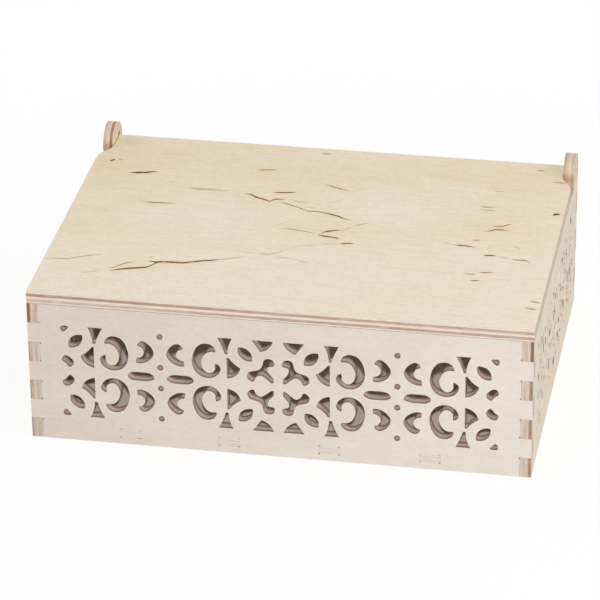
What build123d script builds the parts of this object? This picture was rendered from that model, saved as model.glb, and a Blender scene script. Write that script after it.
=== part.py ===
from build123d import *

import os
from math import sqrt

# A pierced plywood spice box with a lid that turns on two pins between round ears.
# X runs across the box, the front faces -Y and Z is up. The origin is on the ground, under the
# middle of the box. All sizes are in millimetres.

# Box walls
box_width = 260.0
box_depth = 197.0
wall_height = 78.0
wall_ply = 6.0
corner_fingers = 7
joint_gap = 0.1
relief_radius = 0.5

# Bottom board
board_thickness = 4.0
board_height = 4.0
tab_width = 11.0
tabs_along_width = 4
tabs_along_depth = 3

# Lid, ears and hinge pins
lid_ply = 6.5
lid_rest_gap = 0.2
ear_radius = 10.6
ear_lift = 1.1
ear_side_gap = 0.4
ear_swing_gap = 0.3
notch_curve_length = 18.5
lid_back_gap = 0.8
pin_radius = 1.5
pin_running_gap = 0.05
pin_depth_in_lid = 12.0

# Fretwork field of each wall
fret_end_margin_front = 17.4
fret_end_margin_side = 20.0
fret_height = 52.4
fret_middle_height = 40.4

# The motifs are drawn for a field of this size, and each wall stretches them to its own field.
# Each half of the field has an axis, and the motifs are drawn from it and from the middle line.
drawn_field_width = 224.8
drawn_field_height = 52.4
drawn_axis = 61.0
drawn_dot_radius = 1.6
drawn_dot_heights = (6.1, 23.9)

# Places that follow from the sizes above
finger = wall_height / corner_fingers
inside_width = box_width - 2 * wall_ply
inside_depth = box_depth - 2 * wall_ply
lid_bottom = wall_height + lid_rest_gap
pivot_y = box_depth / 2 - ear_radius
pivot_z = lid_bottom + lid_ply / 2
ear_center_z = pivot_z + ear_lift
lid_rear = inside_depth / 2 - lid_back_gap
notch_edge = inside_width / 2 - ear_side_gap


# Fretwork motifs. Each takes a rule, at(a, b), that places a drawn point on the wall:
# a is the distance from the axis and b the height above the middle line.


def closed(*edges):
    return make_face(Curve() + list(edges))


def dot(at, height):
    left, right = at(-drawn_dot_radius, height), at(drawn_dot_radius, height)
    top, bottom = at(0, height + drawn_dot_radius), at(0, height - drawn_dot_radius)
    return closed(ThreePointArc(left, top, right), ThreePointArc(right, bottom, left))


def long_slot(at):
    points = [
        at(3.4, 0), at(5.2, 2.0), at(8.0, 2.5), at(12.6, 2.5), at(15.4, 2.0),
        at(17.2, 0), at(15.4, -2.0), at(12.6, -2.5), at(8.0, -2.5), at(5.2, -2.0),
    ]
    return closed(Spline(points, periodic=True))


def crescent(at):
    back = Spline(at(11.8, 18.4), at(9.1, 20.6), at(4.9, 17.9), at(3.3, 14.0), at(6.2, 9.4), at(12.6, 8.0))
    hollow = ThreePointArc(at(12.2, 10.9), at(8.4, 14.3), at(11.5, 17.6))
    return closed(back, Line(back @ 1, hollow @ 0), hollow, Line(hollow @ 1, back @ 0))


def scroll(at):
    back = Spline(
        at(28.9, 18.6), at(25.4, 22.0), at(20.9, 21.4), at(17.4, 16.5), at(16.6, 10.0),
        at(19.1, 4.6), at(24.9, 2.3), at(29.9, 4.8), at(31.3, 8.4), at(28.6, 11.0),
    )
    hollow = Spline(
        at(28.3, 9.2), at(27.8, 6.5), at(24.9, 5.2), at(21.9, 8.0), at(21.7, 13.0),
        at(24.0, 16.6), at(28.6, 17.4),
    )
    return closed(back, Line(back @ 1, hollow @ 0), hollow, Line(hollow @ 1, back @ 0))


def fan(at):
    return closed(
        Line(at(29.8, 26.2), at(37.5, 26.2)),
        ThreePointArc(at(37.5, 26.2), at(35.6, 21.8), at(35.0, 17.0)),
        Line(at(35.0, 17.0), at(33.6, 17.0)),
        ThreePointArc(at(33.6, 17.0), at(32.2, 21.2), at(29.8, 26.2)),
    )


def fin(at):
    return closed(
        Line(at(34.5, 3.0), at(34.5, 15.0)),
        Line(at(34.5, 15.0), at(35.5, 15.0)),
        ThreePointArc(at(35.5, 15.0), at(37.8, 12.2), at(41.5, 9.4)),
        ThreePointArc(at(41.5, 9.4), at(39.2, 5.1), at(34.5, 3.0)),
    )


def leaf(at):
    return closed(
        ThreePointArc(at(47.5, 13.9), at(46.2, 19.6), at(40.4, 21.4)),
        ThreePointArc(at(40.4, 21.4), at(41.9, 15.7), at(47.5, 13.9)),
    )


def corner_wedge(at):
    points = [at(51.2, 25.9), at(49.4, 26.2), at(47.5, 25.6), at(48.5, 24.0), at(50.1, 22.7), at(51.4, 23.6)]
    return closed(Spline(points, periodic=True))


def kidney(at):
    points = [at(51.4, 7.0), at(49.8, 8.9), at(46.5, 7.5), at(45.3, 4.4), at(47.6, 2.4), at(49.4, 4.4)]
    return closed(Spline(points, periodic=True))


def center_wedge(at):
    return closed(
        Line(at(47.5, 26.2), at(58.4, 26.2)),
        ThreePointArc(at(58.4, 26.2), at(56.0, 22.0), at(51.9, 19.8)),
        ThreePointArc(at(51.9, 19.8), at(50.0, 22.8), at(47.5, 26.2)),
    )


def three_lobes(at):
    points = [
        at(59.1, 13.2), at(57.0, 16.0), at(53.9, 15.3), at(52.6, 11.2), at(50.1, 9.0),
        at(45.9, 7.5), at(45.2, 4.0), at(48.2, 2.4), at(49.2, 4.4), at(51.6, 6.1),
        at(54.6, 4.6), at(58.4, 2.4), at(58.7, 3.9), at(55.9, 8.2), at(56.1, 11.4),
    ]
    return closed(Spline(points, periodic=True))


both_halves = [crescent, scroll, fan, fin, leaf]
outer_half = [corner_wedge, kidney]
inner_half = [center_wedge, three_lobes]


def placing(field_width, side, outward, upward):
    """The rule that places drawn points in one quarter of the field around one axis."""
    stretch_x = field_width / drawn_field_width
    stretch_z = fret_height / drawn_field_height

    def at(a, b):
        return (side * (drawn_axis + outward * a) * stretch_x, fret_middle_height + upward * b * stretch_z)

    return at


def fretwork(field_width):
    """All the openings of one wall's fretwork."""
    openings = []
    for side in (-1, 1):
        for outward in (-1, 1):
            openings.append(long_slot(placing(field_width, side, outward, 1)))
        for upward in (-1, 1):
            for outward, end_motifs in ((-1, inner_half), (1, outer_half)):
                at = placing(field_width, side, outward, upward)
                openings += [motif(at) for motif in both_halves + end_motifs]
            openings += [dot(at, height) for height in drawn_dot_heights]
    return openings


# Walls are drawn flat: their length runs along X about the middle, and their height along Y.


def rectangle(low_x, high_x, low_y, high_y):
    return Pos((low_x + high_x) / 2, (low_y + high_y) / 2) * Rectangle(high_x - low_x, high_y - low_y)


def relief(x, y):
    return Pos(x, y) * Circle(relief_radius)


def tab_centers(length, count):
    return [length * (place / (count + 1) - 0.5) for place in range(1, count + 1)]


def board_slots(length, count):
    """Slots for the tabs of the bottom board, with round reliefs in their long edges."""
    low = board_height - joint_gap / 2
    high = board_height + board_thickness + joint_gap / 2
    half = tab_width / 2 + joint_gap / 2
    cuts = []
    for center in tab_centers(length, count):
        cuts.append(rectangle(center - half, center + half, low, high))
        for x in (center - half + relief_radius, center + half - relief_radius):
            cuts += [relief(x, low), relief(x, high)]
    return cuts


def finger_notches(length, rows):
    """Notches at both ends of a wall, with round reliefs in their inner edges."""
    cuts = []
    for row in rows:
        low = row * finger - joint_gap / 2
        high = (row + 1) * finger + joint_gap / 2
        inner = length / 2 - wall_ply - joint_gap / 2
        outer = length / 2 + wall_ply
        for side in (-1, 1):
            ends = sorted((side * inner, side * outer))
            cuts.append(rectangle(*ends, low, high))
            if row > 0:
                cuts.append(relief(side * inner, low + relief_radius))
            if row < corner_fingers - 1:
                cuts.append(relief(side * inner, high - relief_radius))
    return cuts


def long_wall():
    """The front or back wall, standing with its nearer face at Y = 0."""
    drawing = rectangle(-box_width / 2, box_width / 2, 0, wall_height)
    drawing -= finger_notches(box_width, range(0, corner_fingers, 2))
    drawing -= board_slots(box_width, tabs_along_width)
    drawing -= fretwork(box_width - 2 * fret_end_margin_front)
    standing = Plane(origin=(0, 0, 0), x_dir=(1, 0, 0), z_dir=(0, -1, 0))
    return Pos(0, wall_ply, 0) * extrude(standing * drawing, wall_ply)


def side_wall():
    """A short wall with its hinge ear, standing with its left face at X = 0."""
    drawing = rectangle(-box_depth / 2, box_depth / 2, 0, wall_height)
    drawing += Pos(pivot_y, ear_center_z) * Circle(ear_radius)
    drawing += rectangle(pivot_y, pivot_y + ear_radius, wall_height / 2, ear_center_z)
    drawing -= finger_notches(box_depth, range(1, corner_fingers, 2))
    drawing -= board_slots(box_depth, tabs_along_depth)
    drawing -= Pos(pivot_y, pivot_z) * Circle(pin_radius + pin_running_gap)
    drawing -= fretwork(box_depth - 2 * fret_end_margin_side)
    standing = Plane(origin=(0, 0, 0), x_dir=(0, 1, 0), z_dir=(1, 0, 0))
    return extrude(standing * drawing, wall_ply)


def bottom_panel():
    """The bottom board, whose tabs end flush with the outer faces of the walls."""
    drawing = Rectangle(inside_width - joint_gap, inside_depth - joint_gap)
    for center in tab_centers(box_width, tabs_along_width):
        drawing += Pos(center, 0) * Rectangle(tab_width, box_depth)
    for center in tab_centers(box_depth, tabs_along_depth):
        drawing += Pos(0, center) * Rectangle(box_width, tab_width)
    return Pos(0, 0, board_height) * extrude(drawing, board_thickness)


def lid_panel():
    """The lid, with a curved notch beside each ear and a blind hole for each pin."""
    notch_depth = box_width / 2 - notch_edge
    arc_radius = (notch_depth**2 + notch_curve_length**2) / (4 * notch_depth)
    clear_y = pivot_y - ear_radius - ear_lift - ear_swing_gap
    curve_end = clear_y + sqrt(2 * arc_radius * ear_side_gap - ear_side_gap**2)
    curve_start = curve_end - notch_curve_length

    corner = (box_width / 2, -box_depth / 2)
    shoulder = (box_width / 2, curve_start)
    middle = (box_width / 2 - notch_depth / 2, (curve_start + curve_end) / 2)
    root = (notch_edge, curve_end)
    tail = (notch_edge, lid_rear)
    half = [
        Line((0, corner[1]), corner),
        Line(corner, shoulder),
        TangentArc(shoulder, middle, tangent=(0, 1)),
        TangentArc(root, middle, tangent=(0, -1)),
        Line(root, tail),
        Line(tail, (0, lid_rear)),
    ]
    outline = closed(*half, *[mirror(edge, about=Plane.YZ) for edge in half])
    board = Pos(0, 0, lid_bottom) * extrude(outline, lid_ply)
    for side in (-1, 1):
        board -= hinge_pin(side)
    return board


def hinge_pin(side):
    """A dowel from the outer face of an ear into the edge of the lid."""
    length = box_width / 2 - notch_edge + pin_depth_in_lid
    middle = side * (box_width / 2 - length / 2)
    return Pos(middle, pivot_y, pivot_z) * Rot(0, 90, 0) * Cylinder(pin_radius, length)


nodes = {
    "front_panel": Pos(0, -box_depth / 2, 0) * long_wall(),
    "back_panel": Pos(0, box_depth / 2 - wall_ply, 0) * long_wall(),
    "left_side_panel": Pos(-box_width / 2, 0, 0) * side_wall(),
    "right_side_panel": Pos(box_width / 2 - wall_ply, 0, 0) * side_wall(),
    "bottom_panel": bottom_panel(),
    "lid_panel": lid_panel(),
    "left_hinge_pin": hinge_pin(-1),
    "right_hinge_pin": hinge_pin(1),
}

os.makedirs("parts", exist_ok=True)
for name, piece in nodes.items():
    export_step(piece, f"parts/{name}.step")
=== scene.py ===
import math
from collections import namedtuple

import bpy
from mathutils import Matrix, Vector


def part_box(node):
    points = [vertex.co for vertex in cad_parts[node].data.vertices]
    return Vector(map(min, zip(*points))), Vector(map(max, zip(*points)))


bl_info = {
    "name": "Pierced plywood spice box",
    "version": (1, 0, 0),
    "blender": (4, 5, 0),
    "location": "View3D > Sidebar > Spice Box",
    "description": "Finishes a plywood spice box in bare birch and sets it on a pale stage",
    "category": "Object",
}

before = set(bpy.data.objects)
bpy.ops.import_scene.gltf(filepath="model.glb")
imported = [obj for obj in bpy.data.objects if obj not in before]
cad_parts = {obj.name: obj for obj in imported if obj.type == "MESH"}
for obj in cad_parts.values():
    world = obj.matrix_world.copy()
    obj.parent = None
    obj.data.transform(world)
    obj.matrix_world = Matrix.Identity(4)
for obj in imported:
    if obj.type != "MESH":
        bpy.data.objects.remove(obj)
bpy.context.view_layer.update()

mm = 0.001
x_axis, y_axis, z_axis = 0, 1, 2

# The sockets of a Mix node that take a factor and two colours, and the one that gives their blend.
mix_factor, mix_first, mix_second = 0, 6, 7
mix_result = 2

# Marks in the wood that noise draws: their length along an axis and across it in millimetres, the detail and
# the roughness of the noise, and the levels of it at which the marks begin and are full.
Marks = namedtuple("Marks", "along across detail roughness begin full", defaults=(0, 1))

# In the face veneer, along its grain.
tone_marks = Marks(70, 32, detail=3, roughness=0.55, begin=0.35, full=0.68)
figure_marks = Marks(26, 3.5, detail=3, roughness=0.6, begin=0.4, full=0.7)
fleck_marks = Marks(2.6, 1.5, detail=3, roughness=0.65, begin=0.3, full=0.75)
fibre_marks = Marks(16, 0.55, detail=3, roughness=0.6, begin=0.42, full=0.75)
pore_marks = Marks(4.5, 0.22, detail=2, roughness=0.5, begin=0.6, full=0.72)

# On the cut edges: their fibres, the brown patches in the side walls' holes and the specks on the ears.
edge_marks = Marks(0.5, 6, detail=3, roughness=0.6, begin=0.35, full=0.7)
patch_marks = Marks(6, 6, detail=2, roughness=0.5, begin=0.56, full=0.62)
speck_marks = Marks(1.5, 0.6, detail=3, roughness=0.7, begin=0.5, full=0.7)

# In the lid's dark streaks: how they waver, and where they are whole.
waver_marks = Marks(5, 2, detail=3, roughness=0.5)
whole_marks = Marks(1.5, 8, detail=3, roughness=0.5, begin=0.3, full=0.6)

# In the dowels of the hinge pins.
dowel_marks = Marks(9, 0.3, detail=3, roughness=0.6, begin=0.35, full=0.7)

# Tints that darken the wood where a mask is 1, as shares of its red, green and blue.
figure_tint = (0.97, 0.961, 0.934)
fleck_tint = (0.93, 0.915, 0.885)
fibre_tint = (0.944, 0.932, 0.912)
pore_tint = (0.94, 0.922, 0.898)
deep_brown_tint = (0.74, 0.66, 0.58)
rim_tint = (0.44, 0.33, 0.27)
# Painted shade, warmed like light thrown back from the lid, low on the front of the ears.
ear_shade_tint = (0.818, 0.685, 0.615)
ear_tint = (0.9, 0.86, 0.78)
speck_tint = (0.86, 0.818, 0.762)
halo_tint = (0.968, 0.896, 0.768)
lid_end_tint = (0.93, 0.95, 0.84)

# The bare wood's roughness between its fibres and on them, its gloss, and its relief in millimetres, and
# then the same for the dowels.
wood_roughness = (0.62, 0.78)
wood_gloss = 0.1
fibre_rise = 0.035
hollow_depth = 0.015
dowel_roughness = (0.5, 0.7)
dowel_gloss = 0.25
dowel_rise = 0.03

# The veneers: how much their slow tones warm them, the steady warmth of the plainer ones, and how bold the
# grain is.
tone_warmth = 0.5
steady_warmth = 0.2
wall_boldness = 0.6
lid_boldness = 1.0

# The plies on a cut edge, as shares of the sheet's thickness: half the middle ply, the way from the middle
# to the outer plies, and half the blur between plies and between the sheet's halves.
middle_ply = 0.105
outer_ply = 0.345
ply_blur = 0.015
half_blur = 0.05

# Where a surface turns from face to cut edge, as the square of the sine of its angle to the face, and the
# level of the fibres at which the brown plies darken.
edge_turn = (0.1, 0.5)
burnt_begin = 0.3

# The blur of the brown rims, as a share of the sheet's thickness.
rim_blur = 0.06

# The front and back walls, in millimetres from the middle of the box and above the ground: where painted
# shade darkens and warms their veneer to the left and upward, how much of that shade there is low and high,
# how brown their plies are, and how deep and how brown their rims are.
wall_shade_leftward = (120, -150)
wall_shade_upward = (10, 75)
wall_shade_levels = (-0.2, 0.4)
wall_brown = 0.55
wall_rim_depth = 1.5
wall_rim = 0.9

# Places on the side walls, in millimetres, each from where a mask is 0 to where it is 1: the foot of the
# ear, the ends of the pierced field, the foot of the top finger, and the foot and top of the shade painted
# low on the ear's front.
ear_foot = (77.5, 78.5)
field_end = (92, 88)
top_finger_foot = (60, 68)
ear_shade_foot = (80, 83)
ear_shade_top = (88, 83.5)

# How far forward an ear's edge faces where the painted shade on it begins and where it is full.
ear_shade_turn = (0.3, 0.8)

# In the side walls' holes, how brown the plies are and how brown the patches on the rims are. Below the top
# finger and on it, how strong the rims are and how deep they go, in millimetres. The holes' rims go as deep
# as the top finger's.
hole_brown = 0.15
patch_brown = 1.8
side_rims = (0.7, 1.3)
side_rim_depths = (0.8, 1.7)

# The reach of a knot along each axis in millimetres, and the share of it that is fully dark.
knot_reaches = (1, 3.2, 1.1)
knot_core = 0.4

# The side walls, and for the edges of each one's fingers and of its ear: the middle ply's place in the
# sheet, and then, in the half nearer the left face and the half nearer the right one, how brown the plies
# are and how brown the rims are. The knots are on the ear, in millimetres.
side_walls = [
    {
        "node": "left_side_panel",
        "fingers": {"centre": 0.45, "browns": (0.7, 0.5), "rims": (1.0, 0.0)},
        "ear": {"centre": 0.5, "browns": (0.0, 1.6), "rims": (0.15, 0.0)},
        "knots": [(-124.0, 91.1, 85.9)],
    },
    {
        "node": "right_side_panel",
        "fingers": {"centre": 0.58, "browns": (0.3, 1.8), "rims": (0.0, 0.65)},
        "ear": {"centre": 0.58, "browns": (0.3, 0.35), "rims": (0.35, 0.0)},
        "knots": [],
    },
]

# The lid, in millimetres from the middle of the box: where its veneer warms to the rear and how much, and
# where its edge changes to the left, with the browns of its lower and upper half on the right and the left.
lid_rearward = (-110, 100)
lid_rear_warmth = 0.7
lid_leftward = (60, -130)
lid_low_browns = (1.0, 0.6)
lid_high_browns = (0.95, 1.5)

# The place of the lid's middle ply, the middle of the sheet above which the streaks show, and how far a
# surface faces left or right where the lid's ends begin and are full.
lid_centre = 0.465
lid_upper = (0.4, 0.6)
lid_end_turn = (0.5, 0.9)

# Warmer and paler places of the lid's veneer: their middle and reach in millimetres, and how much warmer
# they are. Within the core, a share of the reach, they are fully so.
lid_tones = [
    ((5, -8), (38, 32), 0.45),
    ((-35, -33), (34, 10), 0.35),
    ((-108, 35), (45, 60), 0.3),
    ((100, 30), (26, 55), 0.3),
    ((45, 20), (42, 34), -0.4),
    ((-62, 0), (40, 30), -0.4),
]
lid_tone_core = 0.2

# The shape of a streak: how far it wavers, its longest taper and the least room to the next one in its row,
# in millimetres, its taper as a share of its length, and how wide its right part is beside its left one.
streak_waver = 0.9
longest_taper = 5.0
row_room = 4.0
taper_share = 0.3
right_share = 0.85

# Across a streak, in half widths: where its core ends, how much of that fades, and where the warm wood
# beside it ends. The least width, in millimetres, keeps the sums finite beyond its ends.
core_end = 1.28
core_fade = 0.7
halo_end = 4.5
least_width = 0.02

# A streak's core where the grain breaks it, how fast its rim colours, where its dark middle begins and is
# full, and how many times deeper than a pore it is.
broken_core = 0.72
streak_rim_gain = 1.8
streak_middle = (0.35, 0.95)
streak_hollow = 3

# Dark streaks in the lid's face veneer, in millimetres from the middle of the box.
# Each has its points from left to right, its widest half width and its darkness.
lid_streaks = [
    ([(-121.6, 58), (-119, 60)], 1.1, 0.85),
    ([(-118, 60.5), (-114.5, 60.2)], 0.6, 0.3),
    ([(-108.5, 45.2), (-104, 45.9), (-99, 46.9), (-95, 48.4), (-92.5, 48.8)], 1, 1),
    ([(-85, 38.4), (-83, 37.4), (-80, 37)], 0.5, 0.3),
    ([(-74, 31.8), (-68, 31.5), (-60, 31.9), (-52, 31.6), (-50, 32.2)], 1, 0.3),
    ([(-94, 11.9), (-88, 11.2), (-84, 11.9), (-79, 12.2), (-75, 12.5)], 0.65, 0.7),
    ([(-42, 29.8), (-38, 29.6), (-35, 26.8), (-28, 23.6), (-26.8, 22.6), (-24, 26), (-18, 26.3)], 0.7, 0.9),
    ([(-22, 23.8), (-13, 19.5), (-4, 14.5), (0, 15), (10, 12.2), (15, 9), (21, 7.2)], 0.55, 0.55),
    ([(3, 14.6), (10, 12.2), (13, 11), (15, 9), (19, 7.5)], 0.75, 0.85),
    ([(-27.5, 33.7), (-22, 34.2), (-17, 35.1), (-14, 35.5)], 0.65, 0.9),
    ([(-41, 58.8), (-37, 59.9), (-33, 60.7), (-28, 60.9)], 0.75, 0.6),
    ([(-10, 85.3), (-6, 85.2), (-3, 85.6)], 0.8, 0.4),
    ([(-2, 50), (0, 47.3), (5, 45), (10, 43), (14, 41.3)], 0.6, 0.5),
    ([(14, 41.3), (17, 42.5), (24, 49)], 0.5, 0.2),
    ([(22, 0.8), (26, 3.5), (30, 6.2)], 0.6, 0.45),
    ([(-130, -61.3), (-124, -60.3), (-117, -59.7), (-113, -57), (-100, -51.2)], 0.55, 0.45),
    ([(-93.5, -69.5), (-86, -65.8), (-75, -62.5), (-72, -58.5), (-70.5, -55.5), (-57, -54.6)], 0.85, 0.95),
    ([(-76.5, -55.3), (-71, -56), (-66, -55), (-57, -54.6), (-49, -51.2), (-39, -48)], 0.8, 0.95),
    ([(-46, -49.5), (-39, -48), (-27, -42.5)], 0.6, 0.45),
    ([(-76.5, -51.5), (-74, -50)], 0.6, 0.5),
    ([(-95, -68), (-92, -65.5), (-88, -61), (-85, -58.5), (-82, -57.5)], 0.65, 0.55),
    ([(-23, -38.2), (-16, -38.3), (-11, -35.2), (-8, -31.5), (-6.5, -29.5)], 0.6, 0.4),
    ([(-15, -7), (-8, -8), (0, -9.5), (5, -11.5)], 0.5, 0.45),
    ([(5.5, -11.5), (9, -7.5), (13, -5.8), (17, -4.2)], 0.8, 0.9),
    ([(5, -12.2), (9, -13), (14, -13.6), (18, -16)], 0.75, 0.9),
    ([(8, -22.5), (19, -20.6)], 0.5, 0.3),
    ([(18, -20.8), (21, -20), (23, -19.2), (26, -19)], 0.75, 0.9),
    ([(70, -9.5), (78, -12)], 0.5, 0.2),
    ([(77, -11.9), (82, -12), (86, -12.4), (88.5, -13)], 0.75, 0.85),
    ([(85.5, -5), (90.5, -4.6)], 0.55, 0.55),
    ([(93.5, -21.4), (97, -21), (101, -21)], 0.75, 0.85),
    ([(101, -21.2), (109, -23.4)], 0.5, 0.3),
    ([(108.5, -23.3), (112, -24), (116, -23.5), (118, -25), (120, -28)], 0.65, 0.65),
    ([(94, -41.1), (98, -40.4), (102, -39.7)], 0.65, 0.65),
    ([(86.5, -43), (90, -43.3), (93.5, -43.5)], 0.6, 0.55),
    ([(91, -50.3), (96.5, -49.8)], 0.65, 0.7),
    ([(108, -8), (112, -11.2)], 0.5, 0.3),
    ([(123.5, -68), (127, -68.5), (130, -69.2)], 0.8, 0.5),
    ([(121.5, -74.6), (125, -76), (128.5, -76.5)], 0.9, 0.5),
    ([(0, -42.5), (6.5, -44.4)], 0.5, 0.35),
    ([(90, 5.7), (94, 7), (96, 8.8), (98, 9.2), (104, 9)], 0.65, 0.75),
    ([(94, 12.6), (97, 13), (100, 13.3), (102, 15.5), (104.5, 16.7)], 0.7, 0.75),
    ([(84, 34.3), (90, 34.8), (94, 35.3)], 0.6, 0.5),
    ([(84, 31), (94, 31)], 0.55, 0.4),
    ([(89.5, 54.2), (96, 54.4)], 0.5, 0.4),
    ([(109, 83.3), (114, 83.2)], 0.9, 0.35),
    ([(118.5, 69.7), (123, 70.2), (127, 69.8)], 0.55, 0.55),
    ([(123.5, 31), (126, 31.8), (128, 32.3)], 1.2, 1),
    ([(-17, 26.7), (-9.8, 24.4), (-3, 24.5)], 0.5, 0.25),
    ([(4.3, 25.2), (8.4, 28.3), (12.5, 32)], 0.5, 0.2),
    ([(-8.6, 17.9), (-4.2, 19.3), (-0.7, 18.8)], 0.5, 0.25),
    ([(13.1, -6.3), (18, -4.3), (22.4, 0.9)], 0.6, 0.35),
    ([(13.5, -13.1), (18.4, -14.5)], 0.6, 0.35),
    ([(16.9, -9.7), (20.5, -11.2)], 0.5, 0.2),
    ([(-6.3, -28), (1.1, -25.3), (8.6, -23.1)], 0.5, 0.2),
    ([(-30.9, -37.8), (-22.3, -37.8)], 0.5, 0.2),
    ([(-14.6, -40.5), (-2.7, -41.1), (2.8, -42.3)], 0.5, 0.2),
    ([(-20.2, -6.9), (-15.7, -2.4), (-8.9, 4.7)], 0.5, 0.15),
    ([(-107.5, -73.9), (-101.1, -71.4), (-95.7, -68.2)], 0.8, 0.2),
]

# The camera's sensor in millimetres and how far it sees, and the size of the flash, in metres.
sensor_width = 36
camera_sight = 20
flash_size = 0.02

# The wide lamps: the name of each, the property that holds its power, its place and its width in metres.
wide_lamps = [
    ("overhead", "sky_power", (0.1, -0.1, 1.5), 1.4),
    ("rear", "rear_power", (0.1, 1.6, 0.4), 1.6),
    ("left_side", "left_power", (-1.6, 0.4, 0.4), 1.6),
    ("right_side", "right_power", (1.5, -0.3, 0.8), 1.6),
]

# The floor: its width and how far it lies below the box, in metres, its colour to the light and to the
# camera, its roughness, and where its shadow fades out, in millimetres from the middle, with the share of
# white in the shadow.
floor_width = 8
floor_drop = 0.0002
floor_grey = (0.6, 0.6, 0.6)
floor_white = (0.95, 0.95, 0.95)
floor_roughness = 0.9
shadow_fade = (150, 420)
shadow_white = 0.8


def linear(red, green, blue):
    """A screen colour, 0 to 255, as the linear colour that shaders take."""
    shares = [level / 255 for level in (red, green, blue)]
    return tuple(share / 12.92 if share < 0.04045 else ((share + 0.055) / 1.055) ** 2.4 for share in shares)


def with_alpha(color):
    """A colour as a colour socket takes it. One that comes from a socket stays as it is."""
    return color if isinstance(color, Shade) else (*color, 1.0)


class Shade:
    """A socket of a material, with arithmetic that adds the nodes it needs."""

    def __init__(self, tree, socket):
        self.tree = tree
        self.socket = socket

    def node(self, kind, settings, sockets, output=0):
        """Add a node, set it up, fill its sockets and return one of its outputs."""
        made = self.tree.nodes.new(kind)
        for name, setting in settings.items():
            if name == "points":
                draw_curve(made.mapping, setting)
            else:
                setattr(made, name, setting)
        for name, value in sockets.items():
            if isinstance(value, Shade):
                self.tree.links.new(value.socket, made.inputs[name])
            else:
                made.inputs[name].default_value = value
        return Shade(self.tree, made.outputs[output])

    def math(self, operation, *values):
        return self.node("ShaderNodeMath", {"operation": operation}, dict(enumerate(values)))

    def vector(self, operation, *values, output="Vector"):
        return self.node("ShaderNodeVectorMath", {"operation": operation}, dict(enumerate(values)), output)

    def __add__(self, other):
        return self.math("ADD", self, other)

    def __radd__(self, other):
        return self.math("ADD", other, self)

    def __sub__(self, other):
        return self.math("SUBTRACT", self, other)

    def __rsub__(self, other):
        return self.math("SUBTRACT", other, self)

    def __mul__(self, other):
        return self.math("MULTIPLY", self, other)

    def __rmul__(self, other):
        return self.math("MULTIPLY", other, self)

    def __truediv__(self, other):
        return self.math("DIVIDE", self, other)

    def __rtruediv__(self, other):
        return self.math("DIVIDE", other, self)

    def __abs__(self):
        return self.math("ABSOLUTE", self)

    def larger(self, other):
        return self.math("MAXIMUM", self, other)

    def within_one(self):
        return self.node("ShaderNodeClamp", {}, {"Value": self})

    def step(self, low, high):
        """Rise smoothly from 0 at low to 1 at high, or fall where low is the larger."""
        settings = {"interpolation_type": "SMOOTHSTEP"}
        return self.node("ShaderNodeMapRange", settings, {"Value": self, "From Min": low, "From Max": high})

    def between(self, low, high):
        """The low value where this mask is 0 and the high value where it is 1."""
        return low + self * (high - low)

    def times(self, factors):
        """These coordinates, each times its own factor."""
        return self.vector("MULTIPLY", self, factors)

    def stretched(self, sizes):
        """These coordinates, with one step along each axis as long as its size."""
        return self.times([1 / size for size in sizes])

    def length(self):
        return self.vector("LENGTH", self, output="Value")

    def apart(self, middle, reaches):
        """How far these coordinates are from a middle, where 1 is the reach along each axis."""
        return self.vector("SUBTRACT", self, middle).stretched(reaches).length()

    def parts(self):
        first = self.node("ShaderNodeSeparateXYZ", {}, {"Vector": self})
        return [Shade(self.tree, output) for output in first.socket.node.outputs]

    def blend(self, low, high):
        """The low colour where this mask is 0 and the high colour where it is 1."""
        sockets = {mix_factor: self, mix_first: with_alpha(low), mix_second: with_alpha(high)}
        return self.node("ShaderNodeMix", {"data_type": "RGBA"}, sockets, mix_result)

    def darken(self, color, tint):
        """The colour, times the tint where this mask is 1."""
        settings = {"data_type": "RGBA", "blend_type": "MULTIPLY"}
        sockets = {mix_factor: self, mix_first: color, mix_second: with_alpha(tint)}
        return self.node("ShaderNodeMix", settings, sockets, mix_result)


def draw_curve(mapping, points):
    """Run a curve straight from point to point, with its ends level."""
    curve = mapping.curves[0]
    curve.points[0].location = (0, points[0][1])
    curve.points[1].location = (1, points[-1][1])
    for place, value in points:
        curve.points.new(place, value)
    for point in curve.points:
        point.handle_type = "VECTOR"
    mapping.update()


class Surface:
    """A new material, with its place in millimetres and its normal, both in the piece's own axes."""

    def __init__(self, name):
        self.material = bpy.data.materials.new(name)
        self.material.use_nodes = True
        self.tree = self.material.node_tree
        self.shader = self.tree.nodes["Principled BSDF"]
        coordinates = self.tree.nodes.new("ShaderNodeTexCoord")
        metres = Shade(self.tree, coordinates.outputs["Object"])
        self.place = metres.stretched((mm, mm, mm))
        self.normal = Shade(self.tree, coordinates.outputs["Normal"])

    def feed(self, name, value):
        if isinstance(value, Shade):
            self.tree.links.new(value.socket, self.shader.inputs[name])
        else:
            self.shader.inputs[name].default_value = value

    def rise(self, height):
        """Raise the surface by a height in millimetres."""
        bump = height.node("ShaderNodeBump", {}, {"Strength": 1.0, "Distance": mm, "Height": height})
        self.feed("Normal", bump)

    def noise(self, marks, axis):
        """The noise that draws some marks along an axis."""
        sizes = [marks.along if place == axis else marks.across for place in range(3)]
        stretched = self.place.stretched(sizes)
        sockets = {"Vector": stretched, "Scale": 1, "Detail": marks.detail, "Roughness": marks.roughness}
        return stretched.node("ShaderNodeTexNoise", {}, sockets)

    def marked(self, marks, axis):
        """1 on some marks along an axis, and 0 between them."""
        return self.noise(marks, axis).step(marks.begin, marks.full)


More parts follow.
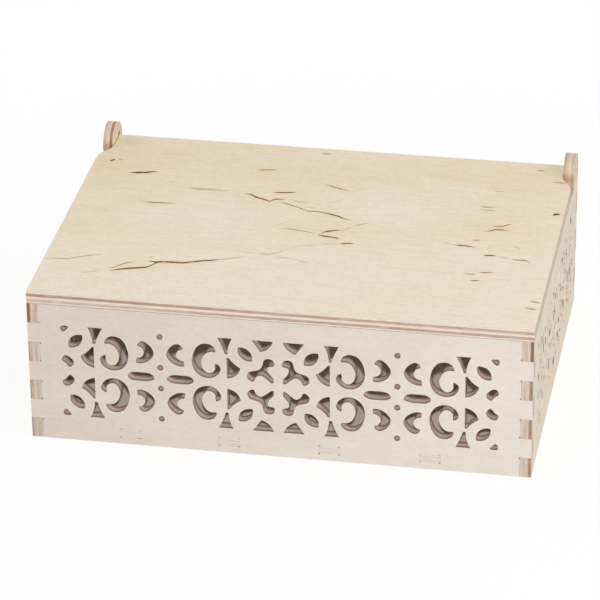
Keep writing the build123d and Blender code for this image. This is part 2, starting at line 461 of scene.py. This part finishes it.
class Sheet:
    """A flat plywood node: its thin axis, its faces across that axis and the grain of its outer plies."""

    def __init__(self, node, along):
        low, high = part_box(node)
        spans = [top - bottom for bottom, top in zip(low, high)]
        self.across = spans.index(min(spans))
        self.along = along
        self.cross = x_axis + y_axis + z_axis - self.across - along
        self.low = low[self.across] / mm
        self.high = high[self.across] / mm

    def share(self, surface):
        """How far through the sheet a point lies, from 0 on its low face to 1 on its high face."""
        return (surface.place.parts()[self.across] - self.low) / (self.high - self.low)


def birch_face(surface, colors, along, drift, boldness):
    """The face veneer, from its paler colour to its warmer one, and its fibres and pores.

    It warms with the drift, which on the front and back walls is painted shade. Its slow tones, figure,
    flecks, fibres and short pores lie along the grain.
    """
    tone = surface.marked(tone_marks, along)
    figure = surface.marked(figure_marks, along)
    flecks = surface.marked(fleck_marks, along)
    fibre = surface.noise(fibre_marks, along)
    pores = surface.marked(pore_marks, along)
    warmth = (tone * tone_warmth + drift - tone_warmth / 2).within_one()
    face = warmth.blend(*colors)
    face = (figure * boldness).darken(face, figure_tint)
    face = (flecks * boldness).darken(face, fleck_tint)
    face = (fibre.step(fibre_marks.begin, fibre_marks.full) * boldness).darken(face, fibre_tint)
    face = pores.darken(face, pore_tint)
    return face, fibre, pores


def cut_edge(surface, face, plies, sheet, centre=0.5, browns=(1.0, 1.0), rounded=0.0):
    """Ply stripes on the cut edges: plies cut across their grain are browned, and the others stay pale.

    The plies give the pale wood, its darker fibres, the brown wood and its darker fibres. The centre is the
    middle ply's place in the sheet. The browns belong to the half nearer each face. Where the mask of
    rounded edges is 1, the same plies stay brown all the way round.
    """
    pale, worn, brown, burnt = plies
    normal = surface.normal.parts()
    share = sheet.share(surface)
    middle = abs(share - centre)
    crossed = middle.step(middle_ply - ply_blur, middle_ply + ply_blur)
    crossed = crossed * middle.step(outer_ply + ply_blur, outer_ply - ply_blur)
    end_along = normal[sheet.along] * normal[sheet.along]
    end_cross = normal[sheet.cross] * normal[sheet.cross]
    brown_cross = crossed * (end_cross + end_along * rounded)
    brown_along = (1 - crossed) * end_along * (1 - rounded)
    strength = share.step(centre - half_blur, centre + half_blur).between(*browns)
    browned = (brown_cross + brown_along) * strength
    fibre = surface.noise(edge_marks, sheet.across)
    pale_wood = fibre.step(edge_marks.begin, edge_marks.full).blend(pale, worn)
    brown_wood = fibre.step(burnt_begin, edge_marks.full).blend(brown, burnt)
    edge = browned.within_one().blend(pale_wood, brown_wood)
    edge = (browned - 1).within_one().darken(edge, deep_brown_tint)
    return (end_along + end_cross).step(*edge_turn).blend(face, edge)


def browned_rim(surface, color, sheet, depth, strength):
    """The thin brown line where an edge meets a face, to a depth in millimetres."""
    share = sheet.share(surface)
    normal = surface.normal.parts()[sheet.across]
    inner = 0.5 - depth / (sheet.high - sheet.low)
    rim = abs(share - 0.5).step(inner, inner + rim_blur) * (1 - normal * normal) * strength
    return rim.within_one().darken(color, rim_tint)


def painted_ear_shade(surface, color, sheet):
    """Painted shade, warmed like light thrown back from the lid, low on the front of a hinge ear just above
    the lid.
    """
    height = surface.place.parts()[z_axis]
    forward = 0 - surface.normal.parts()[sheet.cross]
    low = height.step(*ear_shade_foot) * height.step(*ear_shade_top)
    return (low * forward.step(*ear_shade_turn)).darken(color, ear_shade_tint)


def streak_rows(streaks):
    """Sort streaks into rows, so that no two in one row share a place along the grain."""
    rows = []
    for streak in sorted(streaks, key=lambda streak: streak[0][0]):
        points = streak[0]
        for row in rows:
            last_points = row[-1][0]
            if last_points[-1][x_axis] + row_room < points[0][x_axis]:
                row.append(streak)
                break
        else:
            rows.append([streak])
    return rows


def streak_masks(surface, streaks, reach):
    """The streaks' dark cores, and the warm wood beside them, each from 0 to 1."""

    def share_of(place):
        """A place from -reach to reach as the share from 0 to 1 that a curve takes."""
        return (place + reach) / (2 * reach)

    along, side, _ = surface.place.parts()
    side = side + (surface.noise(waver_marks, x_axis) - 0.5) * streak_waver
    share = share_of(along)
    core, halo = None, None
    for row in streak_rows(streaks):
        courses, widths, depths = [], [], []
        for points, half_width, depth in row:
            courses += [(share_of(x), share_of(y)) for x, y in points]
            first, last = share_of(points[0][x_axis]), share_of(points[-1][x_axis])
            taper = min(taper_share * (last - first), longest_taper / (2 * reach))
            right_width = half_width * right_share
            widths += [(first, 0), (first + taper, half_width), (last - taper, right_width), (last, 0)]
            depths += [(first, depth), (last, depth)]
        course, width, depth = [
            share.node("ShaderNodeFloatCurve", {"points": points}, {"Value": share})
            for points in (courses, widths, depths)
        ]
        away = abs(side - (course * (2 * reach) - reach))
        row_core = ((width * core_end - away) / (width * core_fade + least_width)).within_one() * depth
        row_halo = (1 - away / (width * halo_end + least_width)).within_one() * depth
        core = row_core if core is None else core.larger(row_core)
        halo = row_halo if halo is None else halo.larger(row_halo)
    return core, halo


def lid_warmth(surface):
    """How warm the lid's veneer is: it warms to the rear and in a few wide places."""
    warmth = surface.place.parts()[y_axis].step(*lid_rearward) * lid_rear_warmth
    flat = surface.place.times((1, 1, 0))
    for middle, reaches, amount in lid_tones:
        away = flat.apart((*middle, 0), (*reaches, 1))
        warmth = warmth + away.step(1, lid_tone_core) * amount
    return warmth


class BirchLooks(bpy.types.PropertyGroup):
    """Colours of the bare birch plywood."""

    lid_color: bpy.props.FloatVectorProperty(
        name="Lid", description="Face veneer of the lid", subtype="COLOR",
        default=linear(236, 224, 207),
    )
    lid_warm: bpy.props.FloatVectorProperty(
        name="Lid, warm", description="Warmer patches of the lid's veneer", subtype="COLOR",
        default=linear(233, 215, 187),
    )
    wall_color: bpy.props.FloatVectorProperty(
        name="Front and back", description="Face veneer of the front and back walls", subtype="COLOR",
        default=linear(229, 220, 211),
    )
    # Also the colour toward which painted shade darkens the front and back walls to the left and at the top.
    wall_warm_and_shade: bpy.props.FloatVectorProperty(
        name="Front and back, warm", description="Warmer patches of the front and back", subtype="COLOR",
        default=linear(220, 207, 195),
    )
    side_color: bpy.props.FloatVectorProperty(
        name="Sides", description="Face veneer of the side walls", subtype="COLOR",
        default=linear(230, 219, 203),
    )
    side_warm: bpy.props.FloatVectorProperty(
        name="Sides, warm", description="Warmer patches of the side walls' veneer", subtype="COLOR",
        default=linear(223, 209, 189),
    )
    board_color: bpy.props.FloatVectorProperty(
        name="Bottom board", description="Face veneer of the bottom board", subtype="COLOR",
        default=linear(238, 225, 217),
    )
    board_warm: bpy.props.FloatVectorProperty(
        name="Bottom board, warm", description="Warmer patches of the bottom board", subtype="COLOR",
        default=linear(232, 216, 206),
    )
    pale_ply: bpy.props.FloatVectorProperty(
        name="Pale ply", description="Plies cut along their grain", subtype="COLOR",
        default=linear(232, 216, 202),
    )
    worn_ply: bpy.props.FloatVectorProperty(
        name="Worn ply", description="Darker fibres of the pale plies", subtype="COLOR",
        default=linear(222, 202, 186),
    )
    dull_ply: bpy.props.FloatVectorProperty(
        name="Dull ply", description="Pale plies of the side walls' fingers", subtype="COLOR",
        default=linear(216, 199, 183),
    )
    grey_ply: bpy.props.FloatVectorProperty(
        name="Grey ply", description="Darker fibres of the dull plies", subtype="COLOR",
        default=linear(200, 181, 164),
    )
    brown_ply: bpy.props.FloatVectorProperty(
        name="Brown ply", description="Plies cut across their grain", subtype="COLOR",
        default=linear(200, 176, 158),
    )
    burnt_ply: bpy.props.FloatVectorProperty(
        name="Burnt ply", description="Darker fibres of the brown plies", subtype="COLOR",
        default=linear(172, 142, 122),
    )
    streak_rim: bpy.props.FloatVectorProperty(
        name="Streaks, rim", description="Outer wood of the streaks in the lid's veneer", subtype="COLOR",
        default=linear(176, 128, 74),
    )
    streak_color: bpy.props.FloatVectorProperty(
        name="Streaks", description="Dark middle of the streaks, and the ear's knot", subtype="COLOR",
        default=linear(78, 38, 10),
    )
    dowel_color: bpy.props.FloatVectorProperty(
        name="Pins", description="Birch dowel of the hinge pins", subtype="COLOR",
        default=linear(214, 190, 158),
    )

    def plies(self):
        """The pale wood of a cut edge, its darker fibres, the brown wood and its darker fibres."""
        return self.pale_ply, self.worn_ply, self.brown_ply, self.burnt_ply


class StageLooks(bpy.types.PropertyGroup):
    """The camera, the lamps and the floor."""

    azimuth: bpy.props.FloatProperty(
        name="Azimuth", description="Camera's turn to the right of the front", subtype="ANGLE",
        default=math.radians(10.386),
    )
    elevation: bpy.props.FloatProperty(
        name="Elevation", description="Camera's angle above the ground", subtype="ANGLE",
        default=math.radians(27.834),
    )
    roll: bpy.props.FloatProperty(
        name="Roll", description="Camera's turn about its own line of sight", subtype="ANGLE",
        default=math.radians(-0.504),
    )
    distance: bpy.props.FloatProperty(
        name="Distance", description="Camera's distance from its target", unit="LENGTH", default=1.934
    )
    target: bpy.props.FloatVectorProperty(
        name="Target", description="The point that the camera looks at", subtype="TRANSLATION",
        default=(-0.00627, -0.001, 0.03943),
    )
    lens: bpy.props.FloatProperty(
        name="Lens", description="Focal length in millimetres", unit="CAMERA", default=218.26
    )
    flash_rise: bpy.props.FloatProperty(
        name="Flash rise", description="Height of the flash above the lens", unit="LENGTH", default=0.092
    )
    flash_power: bpy.props.FloatProperty(
        name="Flash power", description="Power of the flash near the lens", unit="POWER", default=93.0
    )
    sky_power: bpy.props.FloatProperty(
        name="Overhead power", description="Power of the wide lamp overhead", unit="POWER", default=3.0
    )
    right_power: bpy.props.FloatProperty(
        name="Right power", description="Power of the wide lamp on the right", unit="POWER", default=17.0
    )
    left_power: bpy.props.FloatProperty(
        name="Left power", description="Power of the wide lamp on the left", unit="POWER", default=20.0
    )
    rear_power: bpy.props.FloatProperty(
        name="Rear power", description="Power of the wide lamp behind the box", unit="POWER", default=18.0
    )
    ambient: bpy.props.FloatProperty(
        name="Ambient", description="Strength of the even light from all around", subtype="FACTOR",
        min=0.0, max=1.0, default=0.1,
    )


def dress(node, surface):
    """Give a node its material."""
    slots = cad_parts[node].data.materials
    slots.clear()
    slots.append(surface.material)


def finish_birch(node, surface, color, fibre, hollows):
    """Give a node the bare matt wood, raised along its fibres and sunk in its hollows."""
    surface.feed("Base Color", color)
    surface.feed("Roughness", fibre.between(*wood_roughness))
    surface.feed("Specular IOR Level", wood_gloss)
    surface.rise(fibre * fibre_rise - hollows * hollow_depth)
    dress(node, surface)


def finish_long_wall(node, looks):
    """Finish the front or the back wall, whose veneer is darkened and warmed to the left and upward by
    painted shade.
    """
    sheet = Sheet(node, x_axis)
    surface = Surface("birch_" + node)
    across, _, height = surface.place.parts()
    # Painted shade: the veneer darkens and warms to the left and toward the top.
    drift = across.step(*wall_shade_leftward) + height.step(*wall_shade_upward).between(*wall_shade_levels)
    veneer = (looks.wall_color, looks.wall_warm_and_shade)
    face, fibre, pores = birch_face(surface, veneer, x_axis, drift, wall_boldness)
    color = cut_edge(surface, face, looks.plies(), sheet, browns=(wall_brown, wall_brown))
    color = browned_rim(surface, color, sheet, wall_rim_depth, wall_rim)
    finish_birch(node, surface, color, fibre, pores)


def finish_side_wall(wall, looks):
    """Finish a side wall, whose fingers, ear and holes are each browned in their own way."""
    sheet = Sheet(wall["node"], z_axis)
    surface = Surface("birch_" + wall["node"])
    finger_edges, ear_edges = wall["fingers"], wall["ear"]
    _, depth, height = surface.place.parts()
    ear = height.step(*ear_foot)
    opening = abs(depth).step(*field_end) * (1 - ear)
    top_finger = height.step(*top_finger_foot)
    patches = surface.marked(patch_marks, x_axis)

    def halves(name, in_holes):
        """A value for the half nearer each face, in the fingers, on the ear and in the holes."""
        pairs = zip(finger_edges[name], ear_edges[name])
        return [opening.between(ear.between(*pair), in_holes) for pair in pairs]

    veneer = (looks.side_color, looks.side_warm)
    face, fibre, pores = birch_face(surface, veneer, z_axis, steady_warmth, wall_boldness)
    paler = ear.larger(opening)
    pale = paler.blend(looks.dull_ply, looks.pale_ply)
    worn = paler.blend(looks.grey_ply, looks.dull_ply)
    plies = (pale, worn, looks.brown_ply, looks.burnt_ply)
    centre = ear.between(finger_edges["centre"], ear_edges["centre"])
    color = cut_edge(surface, face, plies, sheet, centre, halves("browns", hole_brown), ear)

    rims = halves("rims", patches * patch_brown)
    rim = sheet.share(surface).between(*rims) * top_finger.between(*side_rims)
    rim_depth = top_finger.larger(opening).between(*side_rim_depths)
    color = browned_rim(surface, color, sheet, rim_depth, rim)
    # Painted shade low on the front of the ear, then the ear's own darker tint.
    color = ear.darken(painted_ear_shade(surface, color, sheet), ear_tint)
    color = (surface.marked(speck_marks, z_axis) * ear).darken(color, speck_tint)
    for middle in wall["knots"]:
        knot = surface.place.apart(middle, knot_reaches).step(1, knot_core)
        color = knot.blend(color, looks.streak_color)
    finish_birch(wall["node"], surface, color, fibre, pores)


def camera_frame(stage):
    """The camera's axes as columns, and its place."""
    azimuth, elevation, roll = stage.azimuth, stage.elevation, stage.roll
    level = math.cos(elevation)
    back = Vector((math.sin(azimuth) * level, -math.cos(azimuth) * level, math.sin(elevation)))
    right = Vector((math.cos(azimuth), math.sin(azimuth), 0))
    up = back.cross(right)
    turned_right = right * math.cos(roll) + up * math.sin(roll)
    turned_up = up * math.cos(roll) - right * math.sin(roll)
    turned = Matrix((turned_right, turned_up, back)).transposed()
    return turned, Vector(stage.target) + back * stage.distance


def place_camera(stage, turned, position):
    camera = bpy.data.cameras.new("photo_camera")
    camera.lens = stage.lens
    camera.sensor_width = sensor_width
    camera.clip_end = camera_sight
    holder = bpy.data.objects.new("photo_camera", camera)
    holder.matrix_world = Matrix.Translation(position) @ turned.to_4x4()
    bpy.context.scene.collection.objects.link(holder)
    bpy.context.scene.camera = holder


def lamp(name, kind, position, target, power, size):
    light = bpy.data.lights.new(name, kind)
    light.energy = power
    if kind == "AREA":
        light.size = size
    else:
        light.shadow_soft_size = size
    holder = bpy.data.objects.new(name, light)
    holder.location = position
    holder.rotation_euler = (target - position).to_track_quat("-Z", "Y").to_euler()
    bpy.context.scene.collection.objects.link(holder)


def seen_by_camera(start):
    """1 for rays from the camera, mirrors and glass, and 0 for the light itself."""
    path = start.node("ShaderNodeLightPath", {}, {}).socket.node
    names = ("Is Camera Ray", "Is Glossy Ray", "Is Transmission Ray")
    direct, mirrored, passed = [Shade(start.tree, path.outputs[name]) for name in names]
    return direct.larger(mirrored).larger(passed)


def lay_floor():
    """A wide pale floor that looks white to the camera and still takes a soft shadow."""
    bpy.ops.object.select_all(action="DESELECT")
    bpy.ops.mesh.primitive_plane_add(size=floor_width, location=(0, 0, -floor_drop))
    floor = bpy.context.object
    floor.name = "floor"
    bpy.ops.object.transform_apply(location=True, rotation=True, scale=True)
    surface = Surface("pale_floor")
    seen = seen_by_camera(surface.place)
    surface.feed("Base Color", seen.blend(floor_grey, floor_white))
    surface.feed("Roughness", floor_roughness)
    surface.feed("Specular IOR Level", 0.0)
    white = seen * surface.place.length().step(*shadow_fade).between(shadow_white, 1)
    glow = seen.node("ShaderNodeEmission", {}, {"Color": (1, 1, 1, 1), "Strength": 1.0})
    diffuse = Shade(surface.tree, surface.shader.outputs["BSDF"])
    mixed = white.node("ShaderNodeMixShader", {}, {0: white, 1: diffuse, 2: glow})
    output = surface.tree.nodes["Material Output"]
    surface.tree.links.new(mixed.socket, output.inputs["Surface"])
    floor.data.materials.append(surface.material)


def light_world(scene, ambient):
    """White behind the object, and an even dim light from all around."""
    world = bpy.data.worlds.new("studio")
    world.use_nodes = True
    scene.world = world
    background = world.node_tree.nodes["Background"]
    start = Shade(world.node_tree, background.outputs[0])
    strength = seen_by_camera(start).between(ambient, 1)
    world.node_tree.links.new(strength.socket, background.inputs["Strength"])
    background.inputs["Color"].default_value = (1, 1, 1, 1)


class SPICEBOX_OT_walls(bpy.types.Operator):
    """Finish the four pierced walls in bare birch plywood"""

    bl_idname = "spice_box.walls"
    bl_label = "Walls"

    def execute(self, context):
        looks = context.scene.birch_looks
        for node in ("front_panel", "back_panel"):
            finish_long_wall(node, looks)
        for wall in side_walls:
            finish_side_wall(wall, looks)
        return {"FINISHED"}


class SPICEBOX_OT_bottom(bpy.types.Operator):
    """Finish the bottom board in bare birch plywood"""

    bl_idname = "spice_box.bottom"
    bl_label = "Bottom board"

    def execute(self, context):
        looks = context.scene.birch_looks
        surface = Surface("birch_bottom_board")
        veneer = (looks.board_color, looks.board_warm)
        face, fibre, pores = birch_face(surface, veneer, x_axis, steady_warmth, wall_boldness)
        plies = (looks.wall_color, looks.wall_warm_and_shade, looks.wall_warm_and_shade, looks.dull_ply)
        color = cut_edge(surface, face, plies, Sheet("bottom_panel", x_axis))
        finish_birch("bottom_panel", surface, color, fibre, pores)
        return {"FINISHED"}


class SPICEBOX_OT_lid(bpy.types.Operator):
    """Finish the lid in bare birch plywood with dark streaks along its grain"""

    bl_idname = "spice_box.lid"
    bl_label = "Lid"

    def execute(self, context):
        looks = context.scene.birch_looks
        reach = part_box("lid_panel")[1][x_axis] / mm
        sheet = Sheet("lid_panel", x_axis)
        surface = Surface("birch_lid")
        veneer = (looks.lid_color, looks.lid_warm)
        face, fibre, pores = birch_face(surface, veneer, x_axis, lid_warmth(surface), lid_boldness)

        upper = sheet.share(surface).step(*lid_upper)
        core, halo = [mask * upper for mask in streak_masks(surface, lid_streaks, reach)]
        core = core * surface.marked(whole_marks, y_axis).between(broken_core, 1)
        face = halo.darken(face, halo_tint)
        face = (core * streak_rim_gain).within_one().blend(face, looks.streak_rim)
        face = core.step(*streak_middle).blend(face, looks.streak_color)

        leftward = surface.place.parts()[x_axis].step(*lid_leftward)
        browns = [leftward.between(*pair) for pair in (lid_low_browns, lid_high_browns)]
        color = cut_edge(surface, face, looks.plies(), sheet, lid_centre, browns)
        ends = abs(surface.normal.parts()[x_axis]).step(*lid_end_turn)
        color = ends.darken(color, lid_end_tint)
        finish_birch("lid_panel", surface, color, fibre, pores + core * streak_hollow)
        return {"FINISHED"}


class SPICEBOX_OT_pins(bpy.types.Operator):
    """Finish the hinge pins as birch dowels"""

    bl_idname = "spice_box.pins"
    bl_label = "Hinge pins"

    def execute(self, context):
        looks = context.scene.birch_looks
        surface = Surface("birch_dowel")
        fibre = surface.noise(dowel_marks, x_axis)
        color = fibre.step(dowel_marks.begin, dowel_marks.full).blend(looks.dowel_color, looks.brown_ply)
        surface.feed("Base Color", color)
        surface.feed("Roughness", fibre.between(*dowel_roughness))
        surface.feed("Specular IOR Level", dowel_gloss)
        surface.rise(fibre * dowel_rise)
        for node in ("left_hinge_pin", "right_hinge_pin"):
            dress(node, surface)
        return {"FINISHED"}


class SPICEBOX_OT_stage(bpy.types.Operator):
    """Set the floor, the lamps and the camera"""

    bl_idname = "spice_box.stage"
    bl_label = "Stage"

    def execute(self, context):
        stage = context.scene.stage_looks
        turned, position = camera_frame(stage)
        place_camera(stage, turned, position)
        lay_floor()
        light_world(context.scene, stage.ambient)

        target = Vector(stage.target)
        flash_place = position + turned.col[y_axis] * stage.flash_rise
        lamp("flash", "POINT", flash_place, target, stage.flash_power, flash_size)
        for name, power, place, width in wide_lamps:
            lamp(name, "AREA", Vector(place), target, getattr(stage, power), width)
        context.scene.view_settings.view_transform = "Standard"
        return {"FINISHED"}


class SPICEBOX_PT_panel(bpy.types.Panel):
    """Lists the steps that finish the spice box"""

    bl_label = "Spice Box"
    bl_idname = "SPICEBOX_PT_panel"
    bl_space_type = "VIEW_3D"
    bl_region_type = "UI"
    bl_category = "Spice Box"

    def draw(self, context):
        for step in steps:
            self.layout.operator(step.bl_idname)
        for looks in (context.scene.birch_looks, context.scene.stage_looks):
            for name in looks.__annotations__:
                self.layout.prop(looks, name)


steps = (SPICEBOX_OT_walls, SPICEBOX_OT_bottom, SPICEBOX_OT_lid, SPICEBOX_OT_pins, SPICEBOX_OT_stage)
classes = (BirchLooks, StageLooks, *steps, SPICEBOX_PT_panel)


def register():
    for kind in classes:
        bpy.utils.register_class(kind)
    bpy.types.Scene.birch_looks = bpy.props.PointerProperty(type=BirchLooks)
    bpy.types.Scene.stage_looks = bpy.props.PointerProperty(type=StageLooks)


def unregister():
    del bpy.types.Scene.stage_looks
    del bpy.types.Scene.birch_looks
    for kind in reversed(classes):
        bpy.utils.unregister_class(kind)


def main():
    register()
    bpy.ops.spice_box.walls()
    bpy.ops.spice_box.bottom()
    bpy.ops.spice_box.lid()
    bpy.ops.spice_box.pins()
    bpy.ops.spice_box.stage()


if __name__ == "__main__":
    main()
